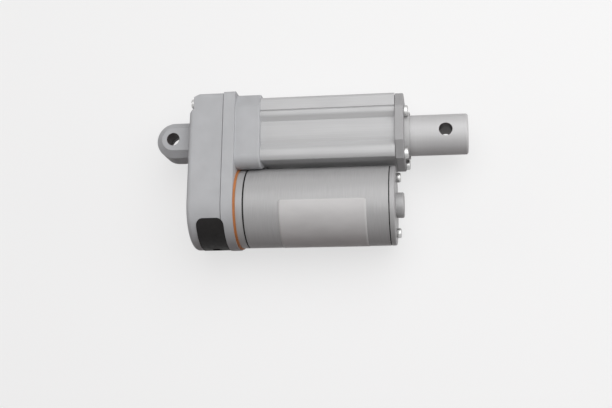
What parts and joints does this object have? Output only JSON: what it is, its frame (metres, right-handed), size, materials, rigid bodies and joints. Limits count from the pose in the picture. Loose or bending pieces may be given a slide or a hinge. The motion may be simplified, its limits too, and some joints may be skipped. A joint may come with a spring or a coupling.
{
  "type": "linear actuator",
  "caption": "Compact electric linear actuator: a motor beside a square extruded tube, joined by a spur gearbox, drives a round rod out of the tube; a cross hole at each end takes a pin.",
  "frame": {"origin": "centre of the rear pivot hole, on the rod's axis", "axes": "+X the way the rod extends, +Y from the motor to the tube, +Z along both pivot holes"},
  "size_m": [0.1548, 0.0763, 0.0412],
  "materials": {
    "casting": "satin painted casting",
    "tube_alloy": "clear anodised extrusion",
    "rod_alloy": "satin drawn rod",
    "motor_steel": "satin plated steel",
    "fastener": "zinc plated",
    "inner_steel": "ground steel",
    "orange_gasket": "soft orange sheet",
    "black_rubber": "black moulded rubber",
    "bronze": "sintered bronze and copper",
    "gear_plastic": "white acetal",
    "black_plastic": "black moulded plastic",
    "board": "glass fibre board",
    "magnet": "ferrite"
  },
  "bodies": {
    "housing": {"gearbox_cover": "casting", "gearbox_housing": "casting", "outer_tube": "tube_alloy", "end_cap": "tube_alloy", "motor_can": "motor_steel", "motor_front_plate": "motor_steel", "motor_end_bell": "motor_steel", "cover_screws": "fastener", "tube_screws": "fastener", "end_cap_screws": "fastener", "motor_tie_bolts": "fastener", "bearing_outer_race": "inner_steel", "bearing_balls": "inner_steel", "bearing_retainer": "inner_steel", "idler_pin": "inner_steel", "motor_gasket": "orange_gasket", "cable_grommet": "black_rubber", "wiper_seal": "black_rubber", "seam_gasket": "black_rubber", "rod_bush": "bronze", "motor_front_bush": "bronze", "motor_rear_bush": "bronze", "brush_plate": "black_plastic", "brushes": "black_plastic", "rear_limit_switch": "black_plastic", "front_limit_switch": "black_plastic", "limit_switch_board": "board", "motor_magnets": "magnet"},
    "rotor": {"motor_shaft": "inner_steel", "motor_pinion": "inner_steel", "armature_core": "inner_steel", "armature_windings": "bronze", "commutator": "bronze"},
    "idler": {"idler_gear": "gear_plastic"},
    "screw": {"screw_gear": "gear_plastic", "screw_clip": "inner_steel", "screw_spacer": "inner_steel", "bearing_inner_race": "inner_steel", "lead_screw": "inner_steel"},
    "rod": {"drive_nut": "gear_plastic", "nut_pins": "fastener", "push_rod": "rod_alloy"}
  },
  "joints": [
    {"name": "motor_spin", "type": "hinge", "parent": "housing", "child": "rotor", "pos_m": [0.016, -0.0348, 0], "axis": [-1, 0, 0], "range_deg": [0, 31569.1]},
    {"name": "idler_spin", "type": "hinge", "parent": "housing", "child": "idler", "pos_m": [0.016, -0.0148, 0], "axis": [-1, 0, 0], "range_deg": [-9970, 0]},
    {"name": "screw_spin", "type": "hinge", "parent": "housing", "child": "screw", "pos_m": [0.023, 0, 0], "axis": [-1, 0, 0], "range_deg": [0, 5400]},
    {"name": "rod_slide", "type": "slide", "parent": "housing", "child": "rod", "axis": [1, 0, 0], "range_m": [0, 0.03]}
  ],
  "couplings": [
    {"joint": "idler_spin", "follows": "motor_spin", "ratio": -0.31579},
    {"joint": "screw_spin", "follows": "motor_spin", "ratio": 0.17105},
    {"joint": "rod_slide", "follows": "motor_spin", "m_per_rad": 0.000054448}
  ]
}
